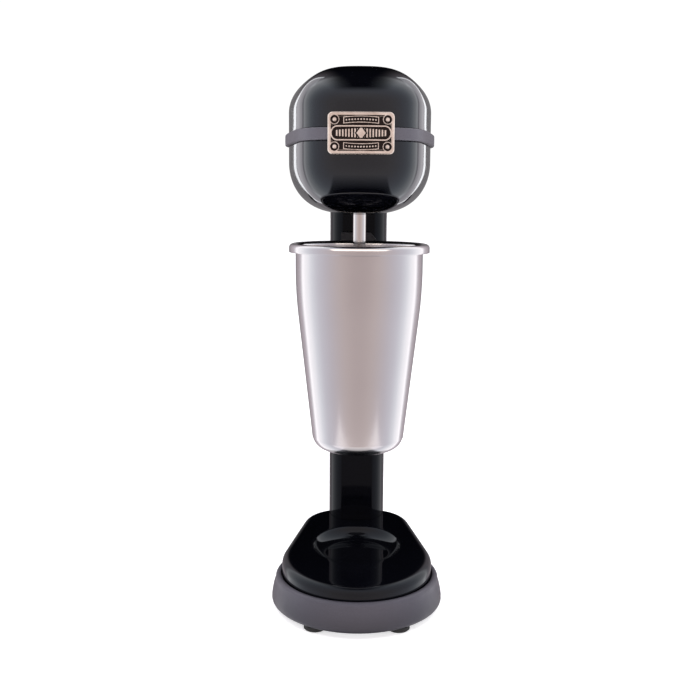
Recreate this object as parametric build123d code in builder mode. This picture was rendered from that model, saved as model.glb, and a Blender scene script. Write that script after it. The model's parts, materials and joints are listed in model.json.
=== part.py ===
from build123d import *
import math
import os

os.makedirs("parts", exist_ok=True)

# ---------------------------------------------------------------------------
# Milkshake mixer: weighted base, D-section column, motor head and hanging cup.
# Millimetres, +Z up, front faces -Y, origin on the table under the middle of
# the base.  Sketch coordinates are measured from the spindle axis.
# ---------------------------------------------------------------------------
spindle_y = -18.0            # spindle axis in the part frame

# base
foot_h = 4.0
foot_d = 18.2
foot_front = (32.8, -49.0)
foot_rear = (30.0, 82.0)
cover_r = 62.0               # front radius of the cover plan
cover_rc = 34.0              # rear corner radius of the cover plan
cover_cx, cover_cy = 14.0, 67.0
skirt_r = 71.0
skirt_rc = 40.5
skirt_cx, skirt_cy = 14.5, 66.5
skirt_top = 28.0
cover_z0 = 24.0              # lower edge of the cover, on the skirt ledge
cover_front_z = 37.5         # top of the cover at its front
cover_rear_z = 48.5          # top of the cover at its back
cover_wall = 2.5
dish_y, dish_r, dish_floor, dish_fillet = 20.7, 37.9, 35.6, 12.0

# column
col_r, col_cy = 25.0, 94.6
col_front, col_back = 73.7, 97.0
col_wall = 2.5
col_top = 352.0

# head
head_mid = 381.0
head_w = 58.2
head_y_mid = 38.0
crown = (22.0, 56.5, 2.4)    # upper half: where the side starts to turn in, top, fullness
belly = (18.0, 59.0, 3.0)    # lower half, the same, measured down
head_wall = 3.0
band_h = 9.0
band_proud = 3.0

# cup
cup_z0 = 134.0
cup_top = 299.7
cup_t = 1.0
cup_lift = 12.0

# spindle and motor
spindle_d = 10.0
shaft_d = 8.0
rotor_r = 20.0
core_z0, core_z1 = 374.0, 402.0
screw_x = 31.5               # long motor screws


def level(z):
    """Horizontal plane at height z, origin on the spindle axis."""
    return Plane(origin=(0, spindle_y, z), x_dir=(1, 0, 0), z_dir=(0, 0, 1))


def side(x):
    """Plane across X: sketch x runs rearward, sketch y runs up."""
    return Plane(origin=(x, spindle_y, 0), x_dir=(0, 1, 0), z_dir=(1, 0, 0))


def front(y):
    """Plane across Y facing the front: sketch x is X, sketch y is Z."""
    return Plane(origin=(0, spindle_y + y, 0), x_dir=(1, 0, 0), z_dir=(0, -1, 0))


spin_axis = Axis((0, spindle_y, 0), (0, 0, 1))


def write(builder, name):
    builder.part.label = name
    export_step(builder.part, "parts/" + name + ".step")


def egg(r, rc, cx, cy, off=0.0):
    """Base plan: round front, narrower rounded back."""
    with BuildSketch(Plane.XY) as s:
        with Locations((0, 0)):
            Circle(r + off)
        with Locations((cx, cy), (-cx, cy)):
            Circle(rc + off)
        make_hull(mode=Mode.REPLACE)
    return s.sketch.face()


def cover_plan(off=0.0):
    return egg(cover_r, cover_rc, cover_cx, cover_cy, off)


def skirt_plan(off=0.0):
    return egg(skirt_r, skirt_rc, skirt_cx, skirt_cy, off)


# plan of the head at mid height, right-hand half, from the front to the back
head_plan = [
    (0, -58), (13.2, -57), (24.5, -54.4), (32.4, -50.2), (38.5, -44.4), (43.6, -35.5),
    (46.8, -25), (50.1, -10), (52.9, 5), (55.8, 22), (57.8, 38), (58.2, 52),
    (56.4, 67), (51.2, 81.5), (41.6, 93), (27.4, 100.3), (13.2, 102.6), (0, 103),
]


def head_inset(rise, form):
    """How far the head side has come in at a given distance from the band."""
    start, reach, n = form
    t = min(max((rise - start) / (reach - start), 0.0), 0.9999)
    return head_w * (1 - (1 - t * t) ** (1 / n))


def head_points(d, lean=1.2):
    pts = []
    kx = (head_w - d) / head_w
    kf = (96.0 - lean * d) / 96.0
    kb = (65.0 - 0.9 * d) / 65.0
    for x, y in head_plan:
        k = kf if y < head_y_mid else kb
        pts.append((x * kx, head_y_mid + (y - head_y_mid) * k))
    left = [(-x, y) for x, y in reversed(pts[1:-1])]
    return pts + left


def head_face(d, lean=1.2):
    with BuildSketch(Plane.XY) as s:
        with BuildLine():
            Spline(*head_points(d, lean), periodic=True)
        make_face()
    return s.sketch.face()


def half_head(form, off):
    """Distances from mid height and insets for one half, inset by off all over."""
    start, reach, n = form
    inner = (start, reach - off, n)
    rises = [band_h / 2, (band_h / 2 + start) / 2, start]
    rises += [start + (reach - off - start) * f for f in (0.22, 0.42, 0.6, 0.75, 0.87, 0.95, 0.986)]
    return [(r, head_inset(r, inner) + off) for r in rises]


up0, lo0 = head_mid + band_h / 2, head_mid - band_h / 2
crown_lean, belly_lean = 1.7, 1.2

with BuildPart() as upper_outer:
    for r, d in half_head(crown, 0):
        with BuildSketch(level(head_mid + r)):
            add(head_face(d, crown_lean))
    loft()
with BuildPart() as upper_inner:
    for r, d in half_head(crown, head_wall):
        with BuildSketch(level(head_mid + r)):
            add(head_face(d, crown_lean))
    loft()
with BuildPart() as lower_outer:
    for r, d in half_head(belly, 0):
        with BuildSketch(level(head_mid - r)):
            add(head_face(d, belly_lean))
    loft()
with BuildPart() as lower_inner:
    for r, d in half_head(belly, head_wall):
        with BuildSketch(level(head_mid - r)):
            add(head_face(d, belly_lean))
    loft()

head_screw_at = [(36, -20), (-36, -20), (38, 62), (-38, 62)]
rivet_x, rivet_dz = 18.9, 9.5
col_section_center = (0, col_cy)


def column_face(off=0.0):
    """D-section: round sides, flat strip at the front, flat back."""
    r = col_r + off
    y0, y1 = col_front - off, col_back + off
    a0 = math.asin((y0 - col_cy) / r)
    a1 = math.asin((y1 - col_cy) / r)
    p0 = (r * math.cos(a0), y0)
    p1 = (r * math.cos(a1), y1)
    am = (a0 + a1) / 2
    pm = (r * math.cos(am), col_cy + r * math.sin(am))
    with BuildSketch(Plane.XY) as s:
        with BuildLine():
            Line((-p0[0], p0[1]), p0)
            ThreePointArc(p0, pm, p1)
            Line(p1, (-p1[0], p1[1]))
            ThreePointArc((-p1[0], p1[1]), (-pm[0], pm[1]), (-p0[0], p0[1]))
        make_face()
    return s.sketch.face()


# --- head, upper shell ------------------------------------------------------
with BuildPart() as upper_bosses:
    with BuildSketch(level(up0)):
        with Locations(*head_screw_at):
            Circle(5)
    extrude(amount=60)
    add(upper_outer.part, mode=Mode.INTERSECT)
with BuildPart() as head_upper_shell:
    add(upper_outer.part)
    add(upper_inner.part, mode=Mode.SUBTRACT)
    add(upper_bosses.part)
    with BuildSketch(level(up0)):
        with Locations(*head_screw_at):
            Circle(2)
    extrude(amount=12, mode=Mode.SUBTRACT)
    with BuildSketch(front(-50)):
        with Locations((rivet_x, head_mid + rivet_dz), (-rivet_x, head_mid + rivet_dz)):
            Circle(1.25)
    extrude(amount=14, mode=Mode.SUBTRACT)
write(head_upper_shell, "head_upper_shell")

# --- head, lower shell ------------------------------------------------------
with BuildPart() as lower_bosses:
    with BuildSketch(level(lo0)):
        with Locations(*head_screw_at):
            Circle(5)
    extrude(amount=-50)
    add(lower_outer.part, mode=Mode.INTERSECT)
with BuildPart() as head_lower_shell:
    add(lower_outer.part)
    add(lower_inner.part, mode=Mode.SUBTRACT)
    add(lower_bosses.part)
    with BuildSketch(level(lo0)):
        with Locations(*head_screw_at):
            Circle(2)
    extrude(amount=-60, mode=Mode.SUBTRACT)
    with BuildSketch(level(345)):
        with Locations(*head_screw_at):
            Circle(3.8)
    extrude(amount=-30, mode=Mode.SUBTRACT)
    with BuildSketch(level(318)):                      # column opening
        add(column_face(0.25))
    extrude(amount=44, mode=Mode.SUBTRACT)
    with BuildSketch(level(318)):                      # bush opening
        Circle(8)
    extrude(amount=12, mode=Mode.SUBTRACT)
    with BuildSketch(level(318)):                      # cooling slots
        with Locations((0, 24), (0, 33), (0, 42), (0, 51)):
            SlotOverall(30, 3.2)
    extrude(amount=14, mode=Mode.SUBTRACT)
    with BuildSketch(front(-50)):
        with Locations((rivet_x, head_mid - rivet_dz), (-rivet_x, head_mid - rivet_dz)):
            Circle(1.25)
    extrude(amount=14, mode=Mode.SUBTRACT)
write(head_lower_shell, "head_lower_shell")

# --- trim band --------------------------------------------------------------
with BuildPart() as trim_band:
    with BuildSketch(level(lo0)):
        add(head_face(-band_proud))
        add(head_face(head_wall), mode=Mode.SUBTRACT)
    extrude(amount=band_h)
    with BuildSketch(level(lo0)):
        with Locations(*head_screw_at):
            Circle(5.3)
    extrude(amount=band_h, mode=Mode.SUBTRACT)
    chamfer(trim_band.edges().group_by(Axis.Z)[-1].filter_by(GeomType.BSPLINE).sort_by(Edge.length)[-1], 0.8)
    chamfer(trim_band.edges().group_by(Axis.Z)[0].filter_by(GeomType.BSPLINE).sort_by(Edge.length)[-1], 0.8)
write(trim_band, "trim_band")

# --- nameplate and its rivets ----------------------------------------------
plate_w, plate_h, plate_cy = 47.5, 29.5, 43.0
with BuildPart() as nameplate:
    with BuildSketch(level(head_mid - plate_h / 2 - 2)):
        with Locations((0, plate_cy)):
            Circle(107.0)
            Circle(101.6, mode=Mode.SUBTRACT)
        with Locations((0, -60)):
            Rectangle(60, 30, mode=Mode.INTERSECT)
    extrude(amount=plate_h + 4)
    with BuildSketch(front(-40)):
        with Locations((0, head_mid)):
            RectangleRounded(plate_w, plate_h, 3.5)
    extrude(amount=40, mode=Mode.INTERSECT)
    with BuildSketch(level(lo0 - 0.3)):                # channel over the band
        with Locations((0, plate_cy)):
            Circle(104.85)
    extrude(amount=band_h + 0.6, mode=Mode.SUBTRACT)
with BuildPart() as plate_relief:                      # sunk field around the cartouche
    with BuildSketch(level(head_mid - plate_h / 2 + 1.6)):
        with Locations((0, plate_cy)):
            Circle(110)
            Circle(106.0, mode=Mode.SUBTRACT)
        with Locations((0, -62)):
            Rectangle(plate_w - 3.2, 30, mode=Mode.INTERSECT)
    extrude(amount=plate_h - 3.2)
    with BuildSketch(front(-50)):
        with Locations((0, head_mid)):
            SlotOverall(41.5, 10.4)
            SlotOverall(38.5, 7.6, mode=Mode.SUBTRACT)
    extrude(amount=30, mode=Mode.SUBTRACT)
with BuildPart() as nameplate_full:
    add(nameplate.part)
    add(plate_relief.part, mode=Mode.SUBTRACT)
    with BuildSketch(front(-40)):
        with Locations((rivet_x, head_mid + rivet_dz), (-rivet_x, head_mid + rivet_dz),
                       (rivet_x, head_mid - rivet_dz), (-rivet_x, head_mid - rivet_dz)):
            Circle(1.25)
    extrude(amount=40, mode=Mode.SUBTRACT)
write(nameplate_full, "nameplate")

plate_front_at_rivet = plate_cy - math.sqrt(106.0 ** 2 - rivet_x ** 2)
with BuildPart() as nameplate_rivets:
    with BuildSketch(front(-50)):
        with Locations((rivet_x, head_mid + rivet_dz), (-rivet_x, head_mid + rivet_dz),
                       (rivet_x, head_mid - rivet_dz), (-rivet_x, head_mid - rivet_dz)):
            Circle(1.25)
    extrude(amount=-plate_front_at_rivet - 50 + 0.5)
    with BuildSketch(front(plate_front_at_rivet - 0.45)):
        with Locations((rivet_x, head_mid + rivet_dz), (-rivet_x, head_mid + rivet_dz),
                       (rivet_x, head_mid - rivet_dz), (-rivet_x, head_mid - rivet_dz)):
            Circle(2.2)
    extrude(amount=1.1)
    fillet(nameplate_rivets.edges().group_by(Axis.Y)[0], 0.9)
write(nameplate_rivets, "nameplate_rivets")

# --- head screws ------------------------------------------------------------
with BuildPart() as head_screws:
    with BuildSketch(level(342)):
        with Locations(*head_screw_at):
            Circle(3.5)
    extrude(amount=3)
    with BuildSketch(level(345)):
        with Locations(*head_screw_at):
            Circle(2)
    extrude(amount=52)
    with BuildSketch(level(342)):
        with Locations(*head_screw_at):
            Rectangle(4.4, 0.9)
            Rectangle(0.9, 4.4)
    extrude(amount=1.4, mode=Mode.SUBTRACT)
write(head_screws, "head_screws")

# --- motor chassis: carries the motor on top of the column ------------------
with BuildPart() as motor_chassis:
    with BuildSketch(level(col_top)):
        with Locations((0, 38)):
            RectangleRounded(44, 116, 6)
        Circle(30)
        with Locations((screw_x, 0), (-screw_x, 0)):
            Circle(6)
        make_hull()
    extrude(amount=6)
    with BuildSketch(level(347)):                       # bearing seat
        Circle(14)
    extrude(amount=11)
    with BuildSketch(level(358)):                       # stator posts
        with Locations((screw_x, 0), (-screw_x, 0)):
            Circle(4.5)
    extrude(amount=core_z0 - 358)
    with BuildSketch(level(340)):
        Circle(11)
    extrude(amount=30, mode=Mode.SUBTRACT)
    with BuildSketch(level(358)):                       # screw pilots
        with Locations((screw_x, 0), (-screw_x, 0)):
            Circle(1.6)
    extrude(amount=20, mode=Mode.SUBTRACT)
    with BuildSketch(level(350)):                       # way for the lead
        with Locations((12, 86)):
            Circle(4)
    extrude(amount=12, mode=Mode.SUBTRACT)
    with BuildSketch(level(350)):                       # column screws
        with Locations((0, 80), (-16, 91)):
            Circle(2)
    extrude(amount=12, mode=Mode.SUBTRACT)
write(motor_chassis, "motor_chassis")

with BuildPart() as lower_bearing:
    with BuildSketch(level(348)):
        Circle(11)
        Circle(shaft_d / 2 + 0.04, mode=Mode.SUBTRACT)
    extrude(amount=9)
    chamfer(lower_bearing.edges().group_by(Axis.Z)[-1], 0.4)
write(lower_bearing, "lower_bearing")

# --- stator, coils, upper bracket ------------------------------------------
with BuildPart() as stator_core:
    with BuildSketch(level(core_z0)):
        Circle(33)
        with Locations((screw_x, 0), (-screw_x, 0)):
            Circle(4.5)
        Circle(28.5, mode=Mode.SUBTRACT)
        with Locations((0, 24.6), (0, -24.6)):
            Rectangle(16, 9)
    extrude(amount=core_z1 - core_z0)
    with BuildSketch(level(core_z0)):                   # pole shoes
        Circle(22.8)
        Rectangle(36, 60, mode=Mode.INTERSECT)
        Circle(20.6, mode=Mode.SUBTRACT)
        Rectangle(60, 20, mode=Mode.SUBTRACT)
    extrude(amount=core_z1 - core_z0)
    with BuildSketch(level(core_z0)):
        Circle(20.6)
    extrude(amount=core_z1 - core_z0, mode=Mode.SUBTRACT)
    with BuildSketch(level(core_z0)):
        with Locations((screw_x, 0), (-screw_x, 0)):
            Circle(1.6)
    extrude(amount=core_z1 - core_z0, mode=Mode.SUBTRACT)
write(stator_core, "stator_core")

with BuildPart() as field_coils:
    with BuildSketch(level(core_z0 - 5)):
        Circle(28.2)
        Circle(23.2, mode=Mode.SUBTRACT)
        with Locations((0, 0)):
            Rectangle(36, 60, mode=Mode.INTERSECT)
        Rectangle(60, 30, mode=Mode.SUBTRACT)
    extrude(amount=core_z1 - core_z0 + 10)
    with BuildSketch(level(core_z0 - 0.2)):
        Rectangle(16.4, 60)
    extrude(amount=core_z1 - core_z0 + 0.4, mode=Mode.SUBTRACT)
write(field_coils, "field_coils")

with BuildPart() as upper_motor_bracket:
    with BuildSketch(level(416.5)):
        Rectangle(66, 10)
        Rectangle(10, 48)
        with Locations((screw_x, 0), (-screw_x, 0)):
            Circle(5)
    extrude(amount=4)
    with BuildSketch(level(416.5)):
        Circle(13)
    extrude(amount=9.5)
    with BuildSketch(level(core_z1)):                   # legs on the stator
        with Locations((screw_x, 0), (-screw_x, 0)):
            Circle(4.5)
    extrude(amount=416.5 - core_z1)
    with BuildSketch(level(410)):
        Circle(9)
    extrude(amount=20, mode=Mode.SUBTRACT)
    with BuildSketch(level(core_z1)):
        with Locations((screw_x, 0), (-screw_x, 0)):
            Circle(1.6)
    extrude(amount=20, mode=Mode.SUBTRACT)
write(upper_motor_bracket, "upper_motor_bracket")

with BuildPart() as upper_bearing:
    with BuildSketch(level(417)):
        Circle(9)
        Circle(shaft_d / 2 + 0.04, mode=Mode.SUBTRACT)
    extrude(amount=8)
    chamfer(upper_bearing.edges().group_by(Axis.Z)[-1], 0.4)
write(upper_bearing, "upper_bearing")

with BuildPart() as motor_screws:
    with BuildSketch(level(420.5)):
        with Locations((screw_x, 0), (-screw_x, 0)):
            Circle(3)
    extrude(amount=2.4)
    with BuildSketch(level(361)):
        with Locations((screw_x, 0), (-screw_x, 0)):
            Circle(1.6)
    extrude(amount=420.5 - 361)
write(motor_screws, "motor_screws")

with BuildPart() as brush_holders:
    with BuildSketch(front(24)):
        with Locations((0, 412)):
            Rectangle(9, 9)
            Rectangle(6, 6, mode=Mode.SUBTRACT)
    extrude(amount=11)
    with BuildSketch(front(-13)):
        with Locations((0, 412)):
            Rectangle(9, 9)
            Rectangle(6, 6, mode=Mode.SUBTRACT)
    extrude(amount=11)
write(brush_holders, "brush_holders")

with BuildPart() as carbon_brushes:
    with BuildSketch(front(22)):
        with Locations((0, 412)):
            Rectangle(6, 6)
    extrude(amount=11.5)
    with BuildSketch(front(-10.5)):
        with Locations((0, 412)):
            Rectangle(6, 6)
    extrude(amount=11.5)
write(carbon_brushes, "carbon_brushes")

# --- rotor ------------------------------------------------------------------
with BuildPart() as motor_shaft:
    with BuildSketch(level(340)):
        Circle(shaft_d / 2)
    extrude(amount=90)
    chamfer(motor_shaft.edges().group_by(Axis.Z)[-1], 0.6)
write(motor_shaft, "motor_shaft")

with BuildPart() as armature_core:
    with BuildSketch(level(core_z0)):
        Circle(rotor_r)
        with PolarLocations(17.6, 12):
            Circle(1.7, mode=Mode.SUBTRACT)
        with PolarLocations(19.4, 12):
            Rectangle(3, 1.4, mode=Mode.SUBTRACT)
        Circle(shaft_d / 2, mode=Mode.SUBTRACT)
    extrude(amount=core_z1 - core_z0)
write(armature_core, "armature_core")

with BuildPart() as armature_windings:
    with BuildSketch(level(core_z0 - 5)):
        Circle(18)
        Circle(shaft_d / 2, mode=Mode.SUBTRACT)
    extrude(amount=5)
    with BuildSketch(level(core_z1)):
        Circle(18)
        Circle(shaft_d / 2, mode=Mode.SUBTRACT)
    extrude(amount=5)
    fillet(armature_windings.edges().filter_by(GeomType.CIRCLE).group_by(Edge.length)[-1].group_by(Axis.Z)[0], 2.5)
    fillet(armature_windings.edges().filter_by(GeomType.CIRCLE).group_by(Edge.length)[-1].group_by(Axis.Z)[-1], 2.5)
write(armature_windings, "armature_windings")

with BuildPart() as commutator:
    with BuildSketch(level(core_z1 + 5)):
        Circle(10)
        with PolarLocations(10, 24):
            Rectangle(1.6, 0.4, mode=Mode.SUBTRACT)
        Circle(shaft_d / 2, mode=Mode.SUBTRACT)
    extrude(amount=8.5)
write(commutator, "commutator")

with BuildPart() as cooling_fan:
    with BuildSketch(level(360)):
        Circle(8)
        Circle(shaft_d / 2, mode=Mode.SUBTRACT)
    extrude(amount=7)
    with BuildSketch(level(360)):
        Circle(24)
        Circle(7, mode=Mode.SUBTRACT)
    extrude(amount=1.2)
    with BuildSketch(level(361.2)):
        with PolarLocations(15.6, 10):
            Rectangle(16.4, 1.2, rotation=14)
    extrude(amount=5.3)
write(cooling_fan, "cooling_fan")

with BuildPart() as spindle_coupling:
    with BuildSketch(level(333)):
        Circle(8)
        Circle(spindle_d / 2, mode=Mode.SUBTRACT)
    extrude(amount=7)
    with BuildSketch(level(340)):
        Circle(8)
        Circle(shaft_d / 2, mode=Mode.SUBTRACT)
    extrude(amount=6)
write(spindle_coupling, "spindle_coupling")

with BuildPart() as spindle:
    with BuildSketch(level(160)):
        Circle(spindle_d / 2)
    extrude(amount=180)
    with BuildSketch(level(150.5)):
        Circle(2.5)
    extrude(amount=9.5)
write(spindle, "spindle")

with BuildPart() as agitator:
    with BuildSketch(level(157)):
        Circle(5.5)
        Circle(2.5, mode=Mode.SUBTRACT)
    extrude(amount=3)
    with BuildSketch(level(158)):
        Circle(14.5)
        Circle(2.5, mode=Mode.SUBTRACT)
        with PolarLocations(11.6, 6):
            Circle(2.1, mode=Mode.SUBTRACT)
    extrude(amount=1.2)
    with BuildSketch(level(156.2)):                     # crimped rim, alternating
        Circle(15.2)
        Circle(14.0, mode=Mode.SUBTRACT)
        with PolarLocations(15, 6, start_angle=30):
            Rectangle(6, 8, mode=Mode.SUBTRACT)
    extrude(amount=5)
write(agitator, "agitator")

with BuildPart() as agitator_nut:
    with BuildSketch(level(151.5)):
        RegularPolygon(4.6, 6)
        Circle(2.5, mode=Mode.SUBTRACT)
    extrude(amount=5.5)
    with BuildSketch(level(149)):
        Circle(4.0)
    extrude(amount=1.5)
    with BuildSketch(level(150.5)):
        Circle(4.0)
        Circle(2.5, mode=Mode.SUBTRACT)
    extrude(amount=1)
    fillet(agitator_nut.edges().group_by(Axis.Z)[0], 1.2)
write(agitator_nut, "agitator_nut")

with BuildPart() as spindle_bush:
    with BuildSketch(level(322.4)):
        Circle(8)
    extrude(amount=9.1)
    with BuildSketch(level(321.6)):
        Circle(spindle_d / 2 + 0.06)
    extrude(amount=12, mode=Mode.SUBTRACT)
write(spindle_bush, "spindle_bush")

# --- column -----------------------------------------------------------------
bracket_screw_at = [(9.4, 272), (-9.4, 272)]
bumper_screw_at = [(6.5, 178), (-6.5, 178)]
with BuildPart() as column:
    with BuildSketch(level(cover_z0)):
        add(column_face(0))
        add(column_face(-col_wall), mode=Mode.SUBTRACT)
    extrude(amount=col_top - cover_z0)
    with BuildSketch(front(80)):
        with Locations(*bracket_screw_at, *bumper_screw_at):
            Circle(1.5)
    extrude(amount=10, mode=Mode.SUBTRACT)
    with BuildSketch(front(99)):                        # switch cut-out
        with Locations((0, 296)):
            Rectangle(12.6, 20.4)
    extrude(amount=8, mode=Mode.SUBTRACT)
write(column, "column")

with BuildPart() as column_foot:
    with BuildSketch(level(19)):
        with Locations((0, 77.2)):
            RectangleRounded(54, 34.4, 8)
        with Locations((12, 86)):
            Circle(4, mode=Mode.SUBTRACT)
        with Locations((20, 66), (-20, 66), (20, 89), (-20, 89)):
            Circle(2.5, mode=Mode.SUBTRACT)
    extrude(amount=5)
write(column_foot, "column_foot")

with BuildPart() as column_bolts:
    with BuildSketch(level(8)):
        with Locations((20, 66), (-20, 66), (20, 89), (-20, 89)):
            RegularPolygon(4.6, 6)
    extrude(amount=4)
    with BuildSketch(level(12)):
        with Locations((20, 66), (-20, 66), (20, 89), (-20, 89)):
            Circle(2.5)
    extrude(amount=12)
write(column_bolts, "column_bolts")

# --- cup --------------------------------------------------------------------
curl_r, curl_z = 52.4, 296.6
with BuildPart() as mixing_cup:
    with BuildSketch(front(0)):
        with BuildLine():
            l1 = Line((0, cup_z0), (25.2, cup_z0))
            l2 = ThreePointArc(l1 @ 1, (33.3, 137.2), (36.9, 143.6))
            l3 = Line(l2 @ 1, (49.3, 252.5))
            l4 = Line(l3 @ 1, (50.3, 270))
            l5 = Line(l4 @ 1, (50.3, curl_z))
            l6 = ThreePointArc(l5 @ 1, (curl_r, curl_z + 2.1), (54.5, curl_z))
            l7 = Line(l6 @ 1, (54.5, 293.0))
            l8 = Line(l7 @ 1, (55.5, 293.0))
            l9 = Line(l8 @ 1, (55.5, curl_z))
            l10 = ThreePointArc(l9 @ 1, (curl_r, curl_z + 3.1), (49.3, curl_z))
            l11 = Line(l10 @ 1, (49.3, 270))
            l12 = Line(l11 @ 1, (48.3, 252.5))
            l13 = Line(l12 @ 1, (35.9, 144.2))
            l14 = ThreePointArc(l13 @ 1, (32.6, 138.0), (25.2, cup_z0 + 1.2))
            l15 = Line(l14 @ 1, (0, cup_z0 + 1.2))
            l16 = Line(l15 @ 1, (0, cup_z0))
        make_face()
    revolve(axis=spin_axis)
write(mixing_cup, "mixing_cup")

# --- cup bracket, plunger and microswitch ----------------------------------
ledge_z = 292.4
with BuildPart() as cup_bracket:
    with BuildSketch(level(262)):
        with Locations((0, 62)):
            Rectangle(30, 2 * (col_front - 62))
        Circle(51.4, mode=Mode.SUBTRACT)
    extrude(amount=ledge_z - 262)
    with BuildSketch(level(ledge_z)):                   # back wall above the rim
        with Locations((0, 62)):
            Rectangle(30, 2 * (col_front - 62))
        Circle(56.3, mode=Mode.SUBTRACT)
    extrude(amount=306 - ledge_z)
    with BuildSketch(level(ledge_z)):                   # hooks under the rolled rim
        Circle(53.3)
        Circle(51.7, mode=Mode.SUBTRACT)
        with Locations((8.5, 53), (-8.5, 53)):
            Rectangle(9, 20, mode=Mode.INTERSECT)
    extrude(amount=298.1 - ledge_z)
    with BuildSketch(front(80)):                        # chamfered upper corner
        with BuildLine():
            Polyline((15.5, 306.5), (9.5, 306.5), (15.5, 299.5), close=True)
        make_face()
    extrude(amount=40, mode=Mode.SUBTRACT)
    with BuildSketch(level(262)):                       # switch pocket
        with Locations((0, 62.5)):
            Rectangle(14, 15)
    extrude(amount=19.5, mode=Mode.SUBTRACT)
    with BuildSketch(level(266)):                       # plunger bore
        with Locations((0, 53.9)):
            Circle(1.85)
    extrude(amount=30, mode=Mode.SUBTRACT)
    with BuildSketch(front(80)):
        with Locations(*bracket_screw_at):
            Circle(1.5)
    extrude(amount=17, mode=Mode.SUBTRACT)
write(cup_bracket, "cup_bracket")

with BuildPart() as bracket_screws:
    with BuildSketch(front(78.4)):
        with Locations(*bracket_screw_at):
            Circle(2.9)
    extrude(amount=2.2)
    with BuildSketch(front(76.2)):
        with Locations(*bracket_screw_at):
            Circle(1.5)
    extrude(amount=12)
write(bracket_screws, "bracket_screws")

with BuildPart() as switch_plunger:
    with BuildSketch(level(270)):
        with Locations((0, 53.9)):
            Circle(1.8)
    extrude(amount=22.7)
    with BuildSketch(level(276)):
        with Locations((0, 57.2)):
            Rectangle(2.4, 4)
    extrude(amount=2.3)
write(switch_plunger, "switch_plunger")

with BuildPart() as microswitch:
    with BuildSketch(level(263)):
        with Locations((0, 64)):
            Rectangle(6.4, 11.4)
    extrude(amount=11.4)
    with BuildSketch(level(274.4)):
        with Locations((0, 59.4)):
            Rectangle(2, 2)
    extrude(amount=1.2)
    with BuildSketch(level(259)):
        with Locations((0, 60), (0, 64), (0, 68)):
            Rectangle(3.2, 0.6)
    extrude(amount=4)
write(microswitch, "microswitch")

# --- lower cup rest ---------------------------------------------------------
def cup_r_at(z):
    return 36.9 + (z - 143.6) * (49.3 - 36.9) / (252.5 - 143.6)


with BuildPart() as cup_clear:
    with BuildSketch(front(0)):
        with BuildLine():
            Polyline((0, 150), (cup_r_at(150) + 0.5, 150), (cup_r_at(210) + 0.5, 210), (0, 210), close=True)
        make_face()
    revolve(axis=spin_axis)
with BuildPart() as pad_clear:
    with BuildSketch(front(0)):
        with BuildLine():
            Polyline((0, 150), (cup_r_at(150) + 4.5, 150), (cup_r_at(210) + 4.5, 210), (0, 210), close=True)
        make_face()
    revolve(axis=spin_axis)

with BuildPart() as bumper_arm:
    with BuildSketch(side(-11)):
        with BuildLine():
            Polyline((36, 170), (36, 186), (66, 186), (col_front, 194), (col_front, 162), (66, 170), close=True)
        make_face()
    extrude(amount=22)
    add(pad_clear.part, mode=Mode.SUBTRACT)
    with BuildSketch(front(80)):
        with Locations(*bumper_screw_at):
            Circle(1.5)
    extrude(amount=17, mode=Mode.SUBTRACT)
write(bumper_arm, "bumper_arm")

with BuildPart() as bumper_pad:
    with BuildSketch(side(-11)):
        with Locations((46, 178)):
            Rectangle(24, 16)
    extrude(amount=22)
    with BuildSketch(level(160)):
        with Locations((0, 60)):
            Rectangle(30, 20)
    extrude(amount=40, mode=Mode.SUBTRACT)
    add(pad_clear.part, mode=Mode.INTERSECT)
    add(cup_clear.part, mode=Mode.SUBTRACT)
write(bumper_pad, "bumper_pad")

with BuildPart() as bumper_screws:
    with BuildSketch(front(78.4)):
        with Locations(*bumper_screw_at):
            Circle(2.9)
    extrude(amount=2.2)
    with BuildSketch(front(76.2)):
        with Locations(*bumper_screw_at):
            Circle(1.5)
    extrude(amount=12)
write(bumper_screws, "bumper_screws")

# --- speed switch on the back of the column --------------------------------
rocker_y, rocker_z = 95.0, 296.0
with BuildPart() as speed_switch_body:
    with BuildSketch(front(97)):
        with Locations((0, rocker_z)):
            Rectangle(12.6, 20.4)
    extrude(amount=14)
    with BuildSketch(front(97)):
        with Locations((0, rocker_z)):
            RectangleRounded(15.4, 23.4, 1.5)
    extrude(amount=-1.8)
    with BuildSketch(front(100)):
        with Locations((0, rocker_z)):
            Rectangle(10.8, 18.9)
    extrude(amount=10, mode=Mode.SUBTRACT)
    with BuildSketch(side(-7)):
        with Locations((rocker_y, rocker_z)):
            Circle(0.8)
    extrude(amount=14, mode=Mode.SUBTRACT)
write(speed_switch_body, "speed_switch_body")

with BuildPart() as speed_rocker:
    with BuildSketch(side(-5.1)):
        with BuildLine():
            Polyline((93.0, 291.5), (93.0, 300.5), (96.4, 304.4), (100.0, 304.4),
                     (98.9, 296), (100.0, 287.6), (96.4, 287.6), close=True)
        make_face()
    extrude(amount=10.2)
    with BuildSketch(side(-6)):
        with Locations((rocker_y, rocker_z)):
            Circle(0.86)
    extrude(amount=12, mode=Mode.SUBTRACT)
write(speed_rocker, "speed_rocker")

with BuildPart() as rocker_pin:
    with BuildSketch(side(-6.3)):
        with Locations((rocker_y, rocker_z)):
            Circle(0.8)
    extrude(amount=12.6)
write(rocker_pin, "rocker_pin")

# --- base cover -------------------------------------------------------------
base_boss_at = [(40, 10), (-40, 10), (37, 60), (-37, 60)]
slope = math.degrees(math.atan2(cover_rear_z - cover_front_z, cover_cy + cover_rc + cover_r))


def roof(z_at_front):
    """Everything above the sloping top surface."""
    with BuildPart(mode=Mode.PRIVATE) as r:
        with BuildSketch(side(-100)):
            with BuildLine():
                rise = math.tan(math.radians(slope))
                Polyline((-100, z_at_front - 38 * rise), (140, z_at_front + 202 * rise),
                         (140, 120), (-100, 120), close=True)
            make_face()
        extrude(amount=200)
    return r.part


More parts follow.
